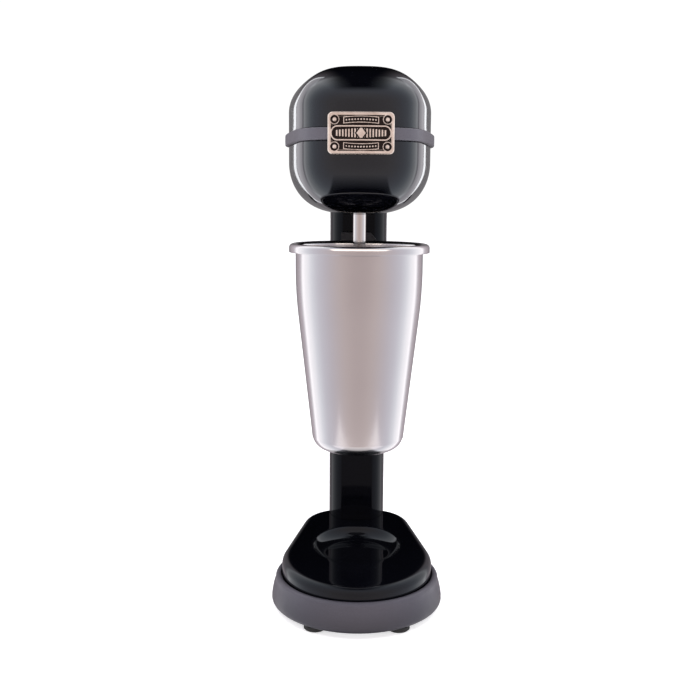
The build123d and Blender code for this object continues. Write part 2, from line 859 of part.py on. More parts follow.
def dish_cut(grow):
    """Round dish with a concave fillet around a flat floor."""
    r, f, zf = dish_r + grow, dish_fillet + grow, dish_floor - grow
    with BuildPart(mode=Mode.PRIVATE) as d:
        with BuildSketch(Plane(origin=(0, spindle_y + dish_y, 0), x_dir=(1, 0, 0), z_dir=(0, -1, 0))):
            with BuildLine():
                Line((0, zf), (r - f, zf))
                RadiusArc((r - f, zf), (r, zf + f), -f)
                Line((r, zf + f), (r, 90))
                Line((r, 90), (0, 90))
                Line((0, 90), (0, zf))
            make_face()
        revolve(axis=Axis((0, spindle_y + dish_y, 0), (0, 0, 1)))
    return d.part


with BuildPart() as cover_core:
    with BuildSketch(level(cover_z0 - 1)):
        add(cover_plan(-cover_wall))
    extrude(amount=40)
    add(roof(cover_front_z - cover_wall), mode=Mode.SUBTRACT)
    add(dish_cut(cover_wall), mode=Mode.SUBTRACT)

with BuildPart() as base_cover:
    with BuildSketch(level(cover_z0)):
        add(cover_plan())
    extrude(amount=40)
    add(roof(cover_front_z), mode=Mode.SUBTRACT)
    fillet(base_cover.faces().sort_by(Axis.Z)[-1].edges(), 6.0)
    add(dish_cut(0), mode=Mode.SUBTRACT)
    add(cover_core.part, mode=Mode.SUBTRACT)
with BuildPart() as cover_bosses:
    with BuildSketch(level(7.2)):
        with Locations(*base_boss_at):
            Circle(4.5)
    extrude(amount=33.8)
    with BuildSketch(level(40)):
        with Locations(*base_boss_at[2:]):
            Circle(4.5)
    extrude(amount=4)
    with BuildSketch(level(7.2)):
        with Locations(*base_boss_at):
            Circle(1.6)
    extrude(amount=20, mode=Mode.SUBTRACT)
with BuildPart() as base_cover_full:
    add(base_cover.part)
    add(cover_bosses.part)
    with BuildSketch(level(cover_z0 - 1)):
        add(column_face(0.2))
    extrude(amount=40, mode=Mode.SUBTRACT)
write(base_cover_full, "base_cover")

# --- skirt ------------------------------------------------------------------
with BuildPart() as base_skirt:
    with BuildSketch(level(foot_h)):
        add(skirt_plan())
    with BuildSketch(level(skirt_top)):
        add(skirt_plan(-4.2))
    loft(ruled=True)
    fillet(base_skirt.faces().sort_by(Axis.Z)[-1].edges(), 3.0)
    fillet(base_skirt.faces().sort_by(Axis.Z)[0].edges(), 4.0)
    with BuildSketch(level(cover_z0)):
        add(cover_plan(0.9))
    extrude(amount=10, mode=Mode.SUBTRACT)
    with BuildSketch(level(0)):
        add(cover_plan(-3.5))
    extrude(amount=40, mode=Mode.SUBTRACT)
    with BuildSketch(level(foot_h - 1)):
        add(cover_plan(0.4))
    extrude(amount=4.2, mode=Mode.SUBTRACT)
    with BuildSketch(front(112)):                       # lead inlet
        with Locations((12, 15)):
            Circle(5.5)
    extrude(amount=16, mode=Mode.SUBTRACT)
write(base_skirt, "base_skirt")

# --- base plate, screws, ballast, feet, gland ------------------------------
all_feet = [(foot_front[0], foot_front[1]), (-foot_front[0], foot_front[1]),
            (foot_rear[0], foot_rear[1]), (-foot_rear[0], foot_rear[1])]
with BuildPart() as base_plate:
    with BuildSketch(level(foot_h)):
        add(cover_plan(0.2))
        with Locations(*all_feet):
            Circle(2, mode=Mode.SUBTRACT)
        with Locations(*base_boss_at):
            Circle(1.6, mode=Mode.SUBTRACT)
    extrude(amount=3)
write(base_plate, "base_plate")

with BuildPart() as base_screws:
    with BuildSketch(level(foot_h - 1.8)):
        with Locations(*base_boss_at):
            Circle(3.2)
    extrude(amount=1.8)
    with BuildSketch(level(foot_h)):
        with Locations(*base_boss_at):
            Circle(1.6)
    extrude(amount=20)
write(base_screws, "base_screws")

with BuildPart() as ballast:
    with BuildSketch(level(7.2)):
        add(cover_plan(-9))
        with Locations(*base_boss_at):
            Circle(5.5, mode=Mode.SUBTRACT)
        with Locations((12, 88)):
            Rectangle(9, 18, mode=Mode.SUBTRACT)
    extrude(amount=11.8)
    with BuildSketch(level(7.2)):
        with Locations(*all_feet):
            Circle(4)
    extrude(amount=4, mode=Mode.SUBTRACT)
    with BuildSketch(level(7.2)):
        with Locations((20, 66), (-20, 66), (20, 89), (-20, 89)):
            Circle(5.2)
    extrude(amount=4.8, mode=Mode.SUBTRACT)
    with BuildSketch(level(7.2)):
        with Locations((20, 66), (-20, 66), (20, 89), (-20, 89)):
            Circle(2.5)
    extrude(amount=12, mode=Mode.SUBTRACT)
write(ballast, "ballast")

with BuildPart() as rubber_feet:
    with BuildSketch(level(0)):
        with Locations(*all_feet):
            Circle(foot_d / 2)
    extrude(amount=foot_h)
    with BuildSketch(level(foot_h)):
        with Locations(*all_feet):
            Circle(2)
    extrude(amount=3)
    chamfer(rubber_feet.edges().group_by(Axis.Z)[0], 0.8)
write(rubber_feet, "rubber_feet")

with BuildPart() as cord_gland:
    with BuildSketch(front(106.0)):
        with Locations((12, 15)):
            Circle(5.5)
    extrude(amount=9.2)
    with BuildSketch(front(97.0)):
        with Locations((12, 15)):
            Circle(7)
    extrude(amount=1.6)
    with BuildSketch(front(110)):
        with Locations((12, 15)):
            Circle(2.6)
    extrude(amount=20, mode=Mode.SUBTRACT)
write(cord_gland, "cord_gland")

# --- internal lead and terminal block --------------------------------------
lead_d = 5.0
with BuildPart() as internal_lead:
    with BuildLine() as lead_path:
        FilletPolyline(
            (12, spindle_y + 105, 15), (12, spindle_y + 86, 15),
            (12, spindle_y + 86, 366), (12, spindle_y + 46, 366), radius=9)
    with BuildSketch(Plane(origin=(12, spindle_y + 105, 15), x_dir=(1, 0, 0), z_dir=(0, -1, 0))):
        Circle(lead_d / 2)
    sweep(path=lead_path.line)
write(internal_lead, "internal_lead")
print("lead volume", internal_lead.part.volume,
      "section x length", math.pi * (lead_d / 2) ** 2 * sum(e.length for e in lead_path.edges()))

with BuildPart() as terminal_block:
    with BuildSketch(level(358)):
        with Locations((12, 40)):
            Rectangle(20, 12)
    extrude(amount=12)
    with BuildSketch(level(370)):
        with Locations((7, 40), (17, 40)):
            Circle(2.2)
    extrude(amount=-4, mode=Mode.SUBTRACT)
write(terminal_block, "terminal_block")
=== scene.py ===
import bpy, bmesh, math
import numpy as np
from mathutils import Vector, Matrix
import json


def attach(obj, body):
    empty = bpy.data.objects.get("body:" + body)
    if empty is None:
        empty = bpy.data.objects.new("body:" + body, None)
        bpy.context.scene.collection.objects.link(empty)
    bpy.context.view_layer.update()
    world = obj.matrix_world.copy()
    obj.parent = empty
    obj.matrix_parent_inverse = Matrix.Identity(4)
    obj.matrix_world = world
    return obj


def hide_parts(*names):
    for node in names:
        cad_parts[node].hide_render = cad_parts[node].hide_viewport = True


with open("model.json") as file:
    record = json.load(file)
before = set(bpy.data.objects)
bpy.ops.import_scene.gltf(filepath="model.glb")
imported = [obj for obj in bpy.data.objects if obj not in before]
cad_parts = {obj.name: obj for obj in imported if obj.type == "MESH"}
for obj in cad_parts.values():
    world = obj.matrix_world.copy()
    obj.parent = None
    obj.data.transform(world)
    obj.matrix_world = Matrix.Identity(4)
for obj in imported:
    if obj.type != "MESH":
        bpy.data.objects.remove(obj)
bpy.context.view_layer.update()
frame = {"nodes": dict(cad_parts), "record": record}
nodes = frame["nodes"]
scene = bpy.context.scene
MM = 0.001
SY = -18.0                     # spindle axis, mm

# ---------------------------------------------------------------------------
# helpers
# ---------------------------------------------------------------------------
def new_object(name, verts, faces, smooth=True, scale=MM):
    me = bpy.data.meshes.new(name)
    me.from_pydata([tuple(c * scale for c in v) for v in verts], [], faces)
    me.validate()
    me.update()
    if smooth:
        me.polygons.foreach_set("use_smooth", [True] * len(me.polygons))
    ob = bpy.data.objects.new(name, me)
    scene.collection.objects.link(ob)
    return ob


def clean(ob, dist=1e-6):
    bm = bmesh.new()
    bm.from_mesh(ob.data)
    bmesh.ops.remove_doubles(bm, verts=bm.verts, dist=dist)
    bmesh.ops.dissolve_degenerate(bm, edges=bm.edges, dist=dist)
    loose = [e for e in bm.edges if not e.link_faces]
    if loose:
        bmesh.ops.delete(bm, geom=loose, context="EDGES")
    bmesh.ops.recalc_face_normals(bm, faces=bm.faces)
    bm.to_mesh(ob.data)
    bm.free()
    ob.data.update()


def rings_mesh(name, rings, close_loop=False, cap_start=False, cap_end=False, smooth=True):
    """Skin a list of rings, each the same number of (x, y, z) points in mm."""
    n = len(rings[0])
    verts = [tuple(p) for r in rings for p in r]
    faces = []
    m = len(rings)
    last = m if close_loop else m - 1
    for i in range(last):
        a, b = i * n, ((i + 1) % m) * n
        for j in range(n):
            k = (j + 1) % n
            faces.append((a + j, a + k, b + k, b + j))
    if cap_start:
        faces.append(tuple(range(n))[::-1])
    if cap_end:
        faces.append(tuple(range((m - 1) * n, m * n)))
    ob = new_object(name, verts, faces, smooth)
    clean(ob)
    return ob


def apply_modifiers(ob):
    dg = bpy.context.evaluated_depsgraph_get()
    me = bpy.data.meshes.new_from_object(ob.evaluated_get(dg))
    ob.modifiers.clear()
    old = ob.data
    ob.data = me
    bpy.data.meshes.remove(old)


def cut(ob, cutter):
    m = ob.modifiers.new("cut", "BOOLEAN")
    m.operation = "DIFFERENCE"
    m.solver = "EXACT"
    m.object = cutter
    apply_modifiers(ob)
    bpy.data.objects.remove(cutter, do_unlink=True)


def sharp_by_angle(ob, deg=32):
    me = ob.data
    me.polygons.foreach_set("use_smooth", [True] * len(me.polygons))
    bm = bmesh.new()
    bm.from_mesh(me)
    lim = math.radians(deg)
    for e in bm.edges:
        if len(e.link_faces) == 2:
            e.smooth = e.calc_face_angle(0) < lim
    bm.to_mesh(me)
    bm.free()


# ---------------------------------------------------------------------------
# materials
# ---------------------------------------------------------------------------
class Mat:
    def __init__(self, name):
        self.m = bpy.data.materials.new(name)
        self.m.use_nodes = True
        self.nt = self.m.node_tree
        self.b = next(n for n in self.nt.nodes if n.type == "BSDF_PRINCIPLED")
        self.tc = self.nt.nodes.new("ShaderNodeTexCoord")

    def node(self, kind, **kw):
        n = self.nt.nodes.new(kind)
        for k, v in kw.items():
            setattr(n, k, v)
        return n

    def link(self, a, b):
        self.nt.links.new(a, b)

    def noise(self, scale, detail=4.0, rough=0.55, stretch=(1, 1, 1)):
        mp = self.node("ShaderNodeMapping")
        mp.inputs["Scale"].default_value = stretch
        self.link(self.tc.outputs["Object"], mp.inputs["Vector"])
        n = self.node("ShaderNodeTexNoise")
        n.inputs["Scale"].default_value = scale
        n.inputs["Detail"].default_value = detail
        n.inputs["Roughness"].default_value = rough
        self.link(mp.outputs["Vector"], n.inputs["Vector"])
        return n.outputs["Fac"]

    def remap(self, src, a, b, lo, hi):
        r = self.node("ShaderNodeMapRange")
        r.inputs["From Min"].default_value = a
        r.inputs["From Max"].default_value = b
        r.inputs["To Min"].default_value = lo
        r.inputs["To Max"].default_value = hi
        self.link(src, r.inputs["Value"])
        return r.outputs["Result"]

    def mixcol(self, fac, c1, c2):
        n = self.node("ShaderNodeMix", data_type="RGBA")
        if isinstance(fac, float):
            n.inputs["Factor"].default_value = fac
        else:
            self.link(fac, n.inputs["Factor"])
        for i, c in ((6, c1), (7, c2)):
            if isinstance(c, tuple):
                n.inputs[i].default_value = (*c, 1.0)
            else:
                self.link(c, n.inputs[i])
        return n.outputs[2]

    def math(self, op, a, b):
        n = self.node("ShaderNodeMath", operation=op)
        for i, v in ((0, a), (1, b)):
            if isinstance(v, (int, float)):
                n.inputs[i].default_value = v
            else:
                self.link(v, n.inputs[i])
        return n.outputs[0]

    def bump(self, height, strength, dist, chain=None):
        n = self.node("ShaderNodeBump")
        n.inputs["Strength"].default_value = strength
        n.inputs["Distance"].default_value = dist
        self.link(height, n.inputs["Height"])
        if chain is not None:
            self.link(chain, n.inputs["Normal"])
        return n.outputs["Normal"]


def enamel(name, ior=1.62, base=(0.0012, 0.0013, 0.0022), rough=0.05):
    k = Mat(name)
    n1 = k.noise(38, 5)
    n2 = k.noise(420, 3)
    n3 = k.noise(9, 3)
    col = k.mixcol(k.remap(n3, 0.35, 0.7, 0.0, 1.0), base, tuple(c * 1.5 for c in base))
    dust = k.remap(k.noise(900, 2, 0.7), 0.72, 0.78, 0.0, 0.08)
    col = k.mixcol(dust, col, (0.03, 0.03, 0.034))
    k.link(col, k.b.inputs["Base Color"])
    r = k.remap(n1, 0.3, 0.75, rough * 0.75, rough * 1.45)
    scratch = k.remap(k.noise(60, 6, 0.65, (1, 1, 14)), 0.60, 0.72, 0.0, 0.05)
    k.link(k.math("ADD", r, scratch), k.b.inputs["Roughness"])
    k.b.inputs["IOR"].default_value = ior
    k.b.inputs["Specular Tint"].default_value = (0.87, 0.94, 1.0, 1.0)
    b = k.bump(n1, 0.012, 0.0012)                     # faint waviness of the sprayed coat
    b = k.bump(n2, 0.010, 0.0002, b)
    k.link(b, k.b.inputs["Normal"])
    return k.m


def satin_paint(name, base, rough=0.42, painted_foot_shade=None):
    k = Mat(name)
    n1 = k.noise(1500, 3)
    n2 = k.noise(24, 4)
    col = k.mixcol(k.remap(n2, 0.3, 0.75, 0.0, 1.0), tuple(c * 0.92 for c in base), tuple(c * 1.08 for c in base))
    col = k.mixcol(k.remap(n1, 0.45, 0.75, 0.0, 0.30), col, tuple(min(1, c * 1.6) for c in base))
    if painted_foot_shade is not None:                               # painted shade: the colour darkens towards the foot, standing in for the shade near the floor
        sp = k.node("ShaderNodeSeparateXYZ")
        k.link(k.tc.outputs["Object"], sp.inputs[0])
        foot_shade_mask = k.remap(sp.outputs[2], 0.008, 0.024, 1.0, 0.0)
        # painted shade mask, strongest at the bottom and faded out by 24 mm up
        foot_shade_mask = k.math("MULTIPLY", foot_shade_mask, k.remap(n2, 0.3, 0.75, 0.85, 1.1))
        col = k.mixcol(foot_shade_mask, col, tuple(c * painted_foot_shade for c in base))
    k.link(col, k.b.inputs["Base Color"])
    k.b.inputs["Metallic"].default_value = 0.25
    k.link(k.remap(k.noise(60, 4), 0.3, 0.75, rough - 0.06, rough + 0.08), k.b.inputs["Roughness"])
    b = k.bump(n1, 0.06, 0.0002)
    b = k.bump(n2, 0.02, 0.001, b)
    k.link(b, k.b.inputs["Normal"])
    return k.m


def cup_metal(name, base=(0.66, 0.635, 0.64), rough=0.16, stretch=(1, 1, 60)):
    k = Mat(name)
    fine = k.noise(55, 6, 0.6, stretch)
    cloud = k.noise(14, 4)
    col = k.mixcol(k.remap(cloud, 0.3, 0.7, 0.0, 1.0), tuple(c * 0.95 for c in base), base)
    k.link(col, k.b.inputs["Base Color"])
    k.b.inputs["Metallic"].default_value = 1.0
    r = k.remap(fine, 0.3, 0.75, rough * 0.8, rough * 1.3)
    spots = k.remap(k.noise(35, 5, 0.7), 0.62, 0.75, 0.0, 0.06)
    k.link(k.math("ADD", r, spots), k.b.inputs["Roughness"])
    b = k.bump(fine, 0.03, 0.0002)
    k.link(b, k.b.inputs["Normal"])
    return k.m


def polished(name, base=(0.72, 0.69, 0.67), rough=0.10, stretch=(1, 1, 20)):
    return cup_metal(name, base, rough, stretch)


def antique(name):
    """Aged cast badge: dark in the recesses, rubbed bright on the high parts."""
    k = Mat(name)
    at = k.node("ShaderNodeAttribute", attribute_name="relief")
    h = at.outputs["Fac"]
    grain = k.noise(900, 5, 0.7)
    wear = k.math("ADD", h, k.remap(grain, 0.3, 0.75, -0.18, 0.18))
    t = k.remap(wear, 0.30, 0.72, 0.0, 1.0)
    tone = k.mixcol(k.remap(k.noise(120, 4), 0.3, 0.7, 0.0, 1.0), (0.74, 0.61, 0.52), (0.95, 0.83, 0.73))
    col = k.mixcol(t, (0.030, 0.020, 0.018), tone)
    k.link(col, k.b.inputs["Base Color"])
    k.b.inputs["Metallic"].default_value = 0.85
    k.link(k.remap(t, 0.0, 1.0, 0.62, 0.30), k.b.inputs["Roughness"])
    b = k.bump(grain, 0.16, 0.0002)
    k.link(b, k.b.inputs["Normal"])
    return k.m


def plain_metal(name, base, rough=0.3, metallic=1.0, grain=300):
    k = Mat(name)
    n = k.noise(grain, 5, 0.6)
    c = k.noise(40, 4)
    k.link(k.mixcol(k.remap(c, 0.3, 0.7, 0.0, 1.0), tuple(x * 0.85 for x in base), base), k.b.inputs["Base Color"])
    k.b.inputs["Metallic"].default_value = metallic
    k.link(k.remap(n, 0.3, 0.7, rough * 0.8, rough * 1.3), k.b.inputs["Roughness"])
    k.link(k.bump(n, 0.08, 0.0002), k.b.inputs["Normal"])
    return k.m


def plastic(name, base, rough=0.4, grain=900, strength=0.12):
    k = Mat(name)
    n = k.noise(grain, 3, 0.6)
    c = k.noise(30, 4)
    k.link(k.mixcol(k.remap(c, 0.3, 0.7, 0.0, 1.0), tuple(x * 0.85 for x in base), tuple(x * 1.15 for x in base)), k.b.inputs["Base Color"])
    k.link(k.remap(c, 0.3, 0.7, rough * 0.88, rough * 1.15), k.b.inputs["Roughness"])
    k.link(k.bump(n, strength, 0.0002), k.b.inputs["Normal"])
    return k.m


M = {
    "gloss_black_enamel": enamel("gloss_black_enamel"),
    "satin_grey": satin_paint("satin_grey", (0.073, 0.069, 0.085)),
    "antique_nickel": antique("antique_nickel"),
    "zinc_steel": plain_metal("zinc_steel", (0.55, 0.56, 0.58), 0.34),
    "cast_aluminium": plain_metal("cast_aluminium", (0.58, 0.58, 0.60), 0.5, 1.0, 600),
    "lamination_steel": plain_metal("lamination_steel", (0.33, 0.34, 0.36), 0.45),
    "copper_winding": plain_metal("copper_winding", (0.72, 0.33, 0.16), 0.38),
    "bronze_bush": plain_metal("bronze_bush", (0.62, 0.45, 0.22), 0.36),
    "carbon": plastic("carbon", (0.03, 0.03, 0.03), 0.6),
    "polished_steel": polished("polished_steel"),
    "cup_steel": cup_metal("cup_steel"),
    "black_plastic": plastic("black_plastic", (0.022, 0.022, 0.025), 0.42),
    "black_rubber": plastic("black_rubber", (0.016, 0.016, 0.016), 0.75, 500, 0.25),
    "lead_sheath": plastic("lead_sheath", (0.07, 0.07, 0.075), 0.5),
    "cast_iron": plain_metal("cast_iron", (0.07, 0.07, 0.07), 0.7, 0.4, 400),
}
variants = {
    "enamel_base": enamel("gloss_black_enamel_base", 1.45),
    "enamel_column": enamel("gloss_black_enamel_column", 1.22),
    # the skirt copy has painted shade: its colour falls to 0.62 of the base towards the foot
    "satin_skirt": satin_paint("satin_grey_skirt", (0.073, 0.069, 0.085), 0.42, 0.62),
    "satin_band": satin_paint("satin_grey_band", (0.10, 0.095, 0.113)),
}
slot_of = {s["node"]: s["material_slot"] for s in frame["record"]["subparts"]}


def finish_with(ob, slot_name, variant=None):
    ob.data.materials.clear()
    ob.data.materials.append(variants[variant] if variant else M[slot_name])


for n, o in nodes.items():
    mat = M[slot_of[n]]
    if not o.material_slots:
        o.data.materials.append(mat)
    for s in o.material_slots:
        s.material = mat

# ---------------------------------------------------------------------------
# camera
# ---------------------------------------------------------------------------
cam_data = bpy.data.cameras.new("camera")
cam_data.sensor_width = 36.0
cam_data.lens = 48.9
cam_data.clip_end = 50
cam = bpy.data.objects.new("camera", cam_data)
scene.collection.objects.link(cam)
cam.location = (-0.0068, (SY - 755) * MM, 0.3367)
tilt = math.radians(90 - 9.2)
roll = math.radians(0.40)
cam.matrix_world = Matrix.Translation(cam.location) @ Matrix.Rotation(tilt, 4, "X") @ Matrix.Rotation(roll, 4, "Z")
scene.camera = cam

# ---------------------------------------------------------------------------
# the head: plan curve scaled in by an inset d, as in the CAD
# ---------------------------------------------------------------------------
HM, HW, HYM = 381.0, 58.2, 38.0
CROWN, BELLY = (22.0, 56.5, 2.4), (18.0, 59.0, 3.0)     # start of the turn-in, reach, fullness
half = [(0, -58), (13.2, -57), (24.5, -54.4), (32.4, -50.2), (38.5, -44.4), (43.6, -35.5),
        (46.8, -25), (50.1, -10), (52.9, 5), (55.8, 22), (57.8, 38), (58.2, 52),
        (56.4, 67), (51.2, 81.5), (41.6, 93), (27.4, 100.3), (13.2, 102.6), (0, 103)]


def periodic_curve(pts, n):
    """Closed cubic spline through the points, sampled evenly along its length."""
    P = np.array(pts, float)
    m = len(P)
    t = np.concatenate([[0], np.cumsum(np.linalg.norm(np.roll(P, -1, 0) - P, axis=1))])
    h = np.diff(t)
    A = np.zeros((m, m))
    R = np.zeros((m, 2))
    for i in range(m):
        a, b = h[i - 1], h[i]
        A[i, (i - 1) % m] += a
        A[i, i] += 2 * (a + b)
        A[i, (i + 1) % m] += b
        R[i] = 6 * ((P[(i + 1) % m] - P[i]) / b - (P[i] - P[i - 1]) / a)
    S = np.linalg.solve(A, R)
    dense = []
    for i in range(m):
        j = (i + 1) % m
        u = np.linspace(0, h[i], 60, endpoint=False)[:, None]
        v = h[i] - u
        dense.append((S[i] * v ** 3 + S[j] * u ** 3) / (6 * h[i])
                     + (P[i] / h[i] - S[i] * h[i] / 6) * v + (P[j] / h[i] - S[j] * h[i] / 6) * u)
    D = np.vstack(dense)
    L = np.concatenate([[0], np.cumsum(np.linalg.norm(np.roll(D, -1, 0) - D, axis=1))])
    q = np.linspace(0, L[-1], n, endpoint=False)
    Dc = np.vstack([D, D[:1]])
    return np.column_stack([np.interp(q, L, Dc[:, 0]), np.interp(q, L, Dc[:, 1])])


NP = 192
plan = periodic_curve(half + [(-x, y) for x, y in reversed(half[1:-1])], NP)
plan[:, 0] = (plan[:, 0] - np.roll(plan[::-1, 0], 1)) / 2        # exact mirror
plan[:, 1] = (plan[:, 1] + np.roll(plan[::-1, 1], 1)) / 2


def head_ring(d, z, lean=1.2):
    kx = (HW - d) / HW
    kf = (96.0 - lean * d) / 96.0
    kb = (65.0 - 0.9 * d) / 65.0
    y = np.where(plan[:, 1] < HYM, HYM + (plan[:, 1] - HYM) * kf, HYM + (plan[:, 1] - HYM) * kb)
    return np.column_stack([plan[:, 0] * kx, y + SY, np.full(NP, z)])


def shell_rings(sign, form, lean, steps=46, extra=0.0):
    """Rings from the band edge to the crown; extra insets them all over."""
    start, reach, n = form
    reach -= extra
    out = [head_ring(extra, HM + sign * r, lean) for r in np.linspace(5.1, start - 1.5, 6)]
    for i in range(steps):
        th = math.pi / 2 * (i / (steps - 1)) ** 0.95
        t, c = math.sin(th), max(math.cos(th), 0.0)
        if i == steps - 1:
            t, c = 1.0, 0.0
        d = (HW - extra) * (1 - c ** (2 / n)) + extra
        out.append(head_ring(min(d, HW), HM + sign * (start + (reach - start) * t), lean))
    return out


def head_shell(name, sign, form, lean):
    outer = shell_rings(sign, form, lean)
    inner = shell_rings(sign, form, lean, 28, 2.6)
    lip = [head_ring(2.6, HM + sign * 4.5, lean), head_ring(0.75, HM + sign * 4.5, lean),
           head_ring(0.28, HM + sign * 4.62, lean), head_ring(0.05, HM + sign * 4.85, lean)]
    rings = inner[::-1] + lip + outer
    ob = rings_mesh(name, [r.tolist() for r in rings])
    return ob


def prism(name, loop, z0, z1):
    n = len(loop)
    v = [(x, y + SY, z0) for x, y in loop] + [(x, y + SY, z1) for x, y in loop]
    f = [tuple(range(n))[::-1], tuple(range(n, 2 * n))]
    f += [(i, (i + 1) % n, n + (i + 1) % n, n + i) for i in range(n)]
    ob = new_object(name, v, f, False)
    clean(ob)
    return ob


def circle(cx, cy, r, n=48):
    return [(cx + r * math.cos(2 * math.pi * i / n), cy + r * math.sin(2 * math.pi * i / n)) for i in range(n)]


def slot_loop(cx, cy, w, h, n=10):
    r = h / 2
    pts = []
    for sx, a0 in ((1, -90), (-1, 90)):
        for i in range(n + 1):
            a = math.radians(a0 + 180 * i / n)
            pts.append((cx + sx * (w / 2 - r) + r * math.cos(a), cy + r * math.sin(a)))
    return pts


# --- column section ---------------------------------------------------------
def column_loop(off=0.0, rr=1.3):
    """D-section with its four edges rounded by rr."""
    r = 25.0 + off
    y0, y1, cy = 73.7 - off, 97.0 + off, 94.6

    def corner(yc, sgn):
        # small circle tangent to the straight strip and inside the big circle
        yy = yc - sgn * rr * (1 if sgn > 0 else 1)
        cyy = yc + rr if sgn < 0 else yc - rr
        cx = math.sqrt((r - rr) ** 2 - (cyy - cy) ** 2)
        return cx, cyy
    fx, fy = corner(y0, -1)
    bx, by = corner(y1, 1)
    pts = []
    a_f = math.atan2(fy - cy, fx)
    a_b = math.atan2(by - cy, bx)
    for i in range(9):
        a = -math.pi / 2 + (a_f + math.pi / 2) * i / 8
        pts.append((fx + rr * math.cos(a), fy + rr * math.sin(a)))
    for i in range(1, 24):
        a = a_f + (a_b - a_f) * i / 24
        pts.append((r * math.cos(a), cy + r * math.sin(a)))
    for i in range(9):
        a = a_b + (math.pi / 2 - a_b) * i / 8
        pts.append((bx + rr * math.cos(a), by + rr * math.sin(a)))
    left = [(-x, y) for x, y in reversed(pts)]
    return pts + left


head_screws_at = [(36, -20), (-36, -20), (38, 62), (-38, 62)]
upper = head_shell("head_upper_visual", 1, CROWN, 1.7)
lower = head_shell("head_lower_visual", -1, BELLY, 1.2)
cut(lower, prism("c1", column_loop(0.45, 1.6), 300, 366))
cut(lower, prism("c2", circle(0, 0, 8.1, 64), 300, 334))
for yy in (24, 33, 42, 51):
    cut(lower, prism("c3", slot_loop(0, yy, 30, 3.2), 315, 333))
for sx, sy in head_screws_at:
    cut(lower, prism("c4", circle(sx, sy, 3.9, 32), 310, 345))
for ob, node_name in ((upper, "head_upper_shell"), (lower, "head_lower_shell")):
    sharp_by_angle(ob, 40)
    finish_with(ob, "gloss_black_enamel")
    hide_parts(node_name)
    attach(ob, "root")

# --- trim band --------------------------------------------------------------
band_profile = [(3.0, -4.45), (-1.9, -4.45), (-2.45, -4.34), (-2.8, -4.05), (-2.95, -3.6), (-3.0, -3.0),
                (-3.04, 0.0), (-3.0, 3.0), (-2.95, 3.6), (-2.8, 4.05), (-2.45, 4.34), (-1.9, 4.45), (3.0, 4.45)]
band = rings_mesh("trim_band_visual", [head_ring(d, HM + z).tolist() for d, z in band_profile], close_loop=True)
sharp_by_angle(band, 50)
finish_with(band, "satin_grey", "satin_band")
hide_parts("trim_band")
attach(band, "root")

# ---------------------------------------------------------------------------
# nameplate: cast relief, generic ornament only
# ---------------------------------------------------------------------------
PW, PH, PR, PCY, PRAD = 47.5, 29.5, 3.5, 43.0, 106.0


def smoothstep(e0, e1, x):
    t = np.clip((x - e0) / (e1 - e0), 0, 1)
    return t * t * (3 - 2 * t)


def rrect(x, z, w, h, r):
    qx, qz = np.abs(x) - w / 2 + r, np.abs(z) - h / 2 + r
    return np.hypot(np.maximum(qx, 0), np.maximum(qz, 0)) + np.minimum(np.maximum(qx, qz), 0) - r


def plate_relief(x, z):
    """Height above the sunk field, 0 to 1 mm, on the badge's face."""
    edge = rrect(x, z, PW, PH, PR)
    h = np.zeros_like(x)
    frame_line = smoothstep(-2.5, -2.2, edge)                       # raised border
    h = np.maximum(h, frame_line)
    inner = smoothstep(0.28, 0.05, np.abs(edge + 3.1)) * 0.55        # pinstripe inside it
    h = np.maximum(h, inner * (np.abs(x) < 99))
    cart = rrect(x, z, 43.4, 10.6, 5.0)
    h = np.where(cart < 1.0, 0.0 * h, h) * 1.0
    h = np.maximum(h, frame_line)
    ring = smoothstep(0.62, 0.40, np.abs(cart + 0.45))
    h = np.maximum(h, ring * 0.95)
    # row of upright flutes inside the cartouche, taller in the middle
    inside = smoothstep(-1.5, -1.9, cart)
    pitch = 2.15
    px = (x / pitch) - np.round(x / pitch)
    idx = np.round(x / pitch)
    tall = 3.3 - 0.085 * np.abs(idx) - 0.035 * (idx ** 2) * 0.25
    bar = smoothstep(0.34, 0.24, np.abs(px)) * smoothstep(0.25, -0.1, np.abs(z) - tall)
    bar = np.where(np.abs(x) < 18.2, bar, 0.0)
    diamond = smoothstep(0.35, 0.0, (np.abs(x) / 2.9 + np.abs(z) / 3.9) - 1.0)
    gap = smoothstep(0.0, 0.30, (np.abs(x) / 3.9 + np.abs(z) / 5.2) - 1.0)
    cell = np.maximum(bar * gap, diamond)
    h = np.maximum(h, inside * cell * 0.9)
    # arched banners above and below, filled with short beads
    for sgn in (1, -1):
        zc = sgn * (9.6 - 0.0048 * x ** 2)
        bz = z - zc
        w = 12.6
        body = np.maximum(np.abs(x) - w, np.abs(bz) - 2.35)
        h = np.maximum(h, smoothstep(0.42, 0.22, np.abs(body + 0.25)) * 0.8)
        bp = x / 2.1 - np.round(x / 2.1)
        bead = np.hypot(bp * 2.1, bz) - 0.62
        h = np.maximum(h, smoothstep(0.25, -0.15, bead) * smoothstep(-1.4, -1.8, body) * 0.75)
    # dished seats round the four rivets
    for rx in (-18.9, 18.9):
        for rz in (-9.5, 9.5):
            dr = np.hypot(x - rx, z - rz)
            h = np.where(dr < 3.4, np.minimum(h, smoothstep(2.9, 3.4, dr) * h), h)
            h = np.maximum(h, smoothstep(0.38, 0.2, np.abs(dr - 3.25)) * 0.9)
    return np.clip(h, 0, 1)


